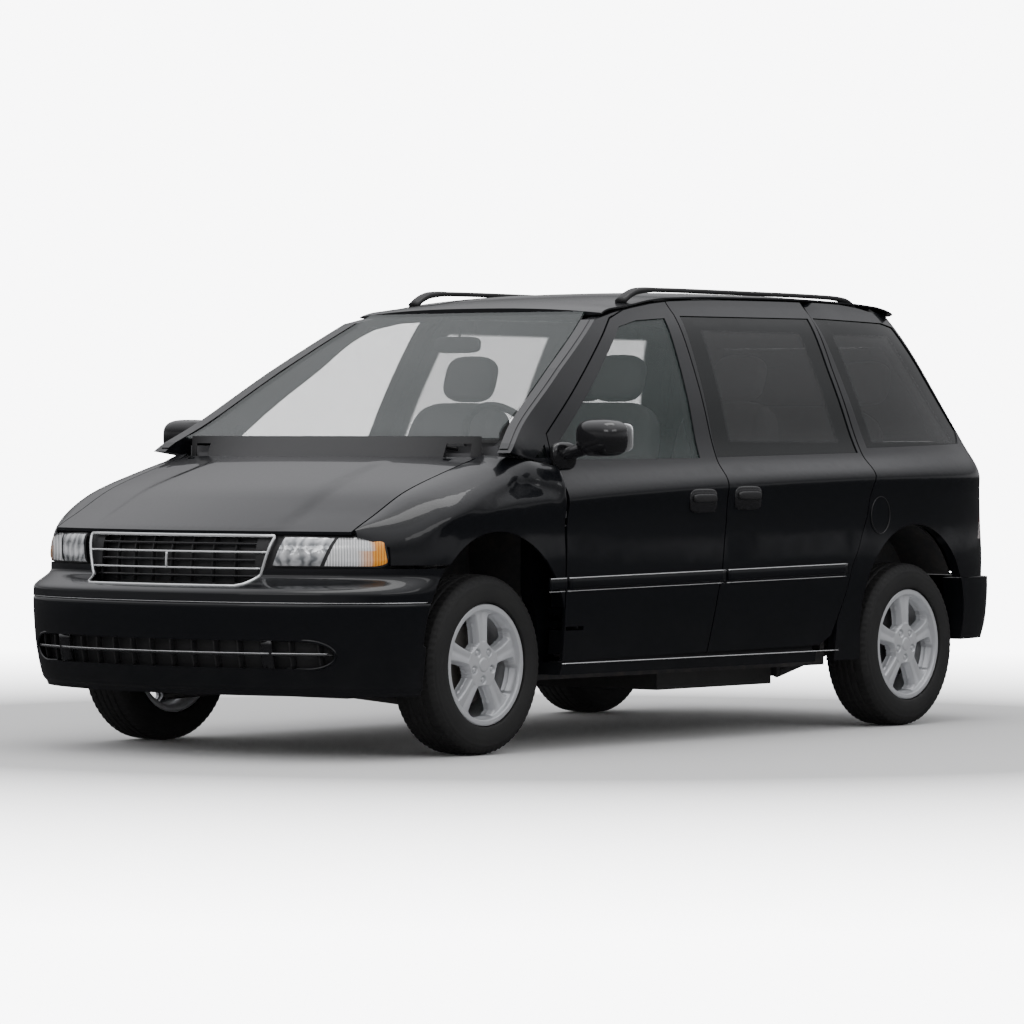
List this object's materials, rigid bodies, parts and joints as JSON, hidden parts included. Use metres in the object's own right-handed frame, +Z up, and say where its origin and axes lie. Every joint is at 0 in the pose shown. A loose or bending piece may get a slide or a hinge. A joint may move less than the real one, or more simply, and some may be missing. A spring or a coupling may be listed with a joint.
{
  "type": "minivan",
  "caption": "Minivan with hinged front doors, sliding rear doors, liftgate, hood, three rows of seats, roof rails and alloy wheels.",
  "frame": {"origin": "on the ground at the middle of the overall length and width", "axes": "+X forwards, +Y to the vehicle's left, +Z up"},
  "size_m": [4.7005, 2.3646, 1.8575],
  "materials": {
    "paint": "gloss",
    "dark_trim": "satin",
    "glass": "clear",
    "dark_glass": "tinted",
    "lamp_clear": "clear",
    "lamp_red": "gloss",
    "grille_plastic": "satin",
    "seat_cloth": "woven",
    "dash_plastic": "grained",
    "bare_steel": "satin",
    "cast": "cast",
    "tyre": "matte",
    "rim": "satin",
    "tank_plastic": "matte",
    "muffler_steel": "dull"
  },
  "bodies": {
    "body": {"sliding_doors": "paint", "side_frames": "paint", "side_glass": "dark_glass", "roof": "paint", "windscreen": "glass", "cowl": "dark_trim", "fenders": "paint", "headlamps": "lamp_clear", "grille": "grille_plastic", "bumper_front": "paint", "quarter_panels": "paint", "tail_lamps": "lamp_red", "bumper_rear": "paint", "floor": "bare_steel", "front_structure": "bare_steel", "dashboard": "dash_plastic", "front_seats": "seat_cloth", "second_row_seats": "seat_cloth", "third_row_seat": "seat_cloth", "engine_block": "cast", "front_suspension": "bare_steel", "rear_axle": "bare_steel", "fuel_tank": "tank_plastic", "exhaust": "muffler_steel", "roof_rails": "dark_trim"},
    "door_front_left": {"door_front_left": "paint", "door_glass_left": "glass", "mirror_left": "dark_trim"},
    "door_front_right": {"door_front_right": "paint", "door_glass_right": "glass", "mirror_right": "dark_trim"},
    "hood": {"hood": "paint"},
    "liftgate": {"liftgate": "paint", "liftgate_glass": "dark_glass"},
    "knuckle_left": {"knuckle_left": "cast"},
    "knuckle_right": {"knuckle_right": "cast"},
    "wheel_front_left": {"rim_front_left": "rim", "tyre_front_left": "tyre"},
    "wheel_front_right": {"rim_front_right": "rim", "tyre_front_right": "tyre"},
    "wheel_rear_left": {"rim_rear_left": "rim", "tyre_rear_left": "tyre"},
    "wheel_rear_right": {"rim_rear_right": "rim", "tyre_rear_right": "tyre"}
  },
  "joints": [
    {"name": "door_front_left_hinge", "type": "hinge", "parent": "body", "child": "door_front_left", "pos_m": [0.89992, 0.945, 0.7], "axis": [0, 0, -1], "range_deg": [0, 65]},
    {"name": "door_front_right_hinge", "type": "hinge", "parent": "body", "child": "door_front_right", "pos_m": [0.89992, -0.945, 0.7], "axis": [0, 0, 1], "range_deg": [0, 65]},
    {"name": "hood_hinge", "type": "hinge", "parent": "body", "child": "hood", "pos_m": [1.2723, 0, 1.13615], "axis": [0, -1, 0], "range_deg": [0, 50]},
    {"name": "liftgate_hinge", "type": "hinge", "parent": "body", "child": "liftgate", "pos_m": [-1.95811, 0, 1.71382], "axis": [0, 1, 0], "range_deg": [0, 80]},
    {"name": "steer_left", "type": "hinge", "parent": "body", "child": "knuckle_left", "pos_m": [1.405, 0.70779, 0.348], "axis": [0, -0.2182, 0.9759], "range_deg": [-33, 33]},
    {"name": "steer_right", "type": "hinge", "parent": "body", "child": "knuckle_right", "pos_m": [1.405, -0.70779, 0.348], "axis": [0, 0.2182, 0.9759], "range_deg": [-33, 33]},
    {"name": "wheel_front_left_spin", "type": "hinge", "parent": "knuckle_left", "child": "wheel_front_left", "pos_m": [1.405, 0.8, 0.348], "axis": [0, 1, 0], "continuous": true},
    {"name": "wheel_front_right_spin", "type": "hinge", "parent": "knuckle_right", "child": "wheel_front_right", "pos_m": [1.405, -0.8, 0.348], "axis": [0, 1, 0], "continuous": true},
    {"name": "wheel_rear_left_spin", "type": "hinge", "parent": "body", "child": "wheel_rear_left", "pos_m": [-1.473, 0.813, 0.348], "axis": [0, 1, 0], "continuous": true},
    {"name": "wheel_rear_right_spin", "type": "hinge", "parent": "body", "child": "wheel_rear_right", "pos_m": [-1.473, -0.813, 0.348], "axis": [0, 1, 0], "continuous": true}
  ],
  "couplings": [
    {"joint": "steer_right", "follows": "steer_left", "ratio": 1}
  ]
}
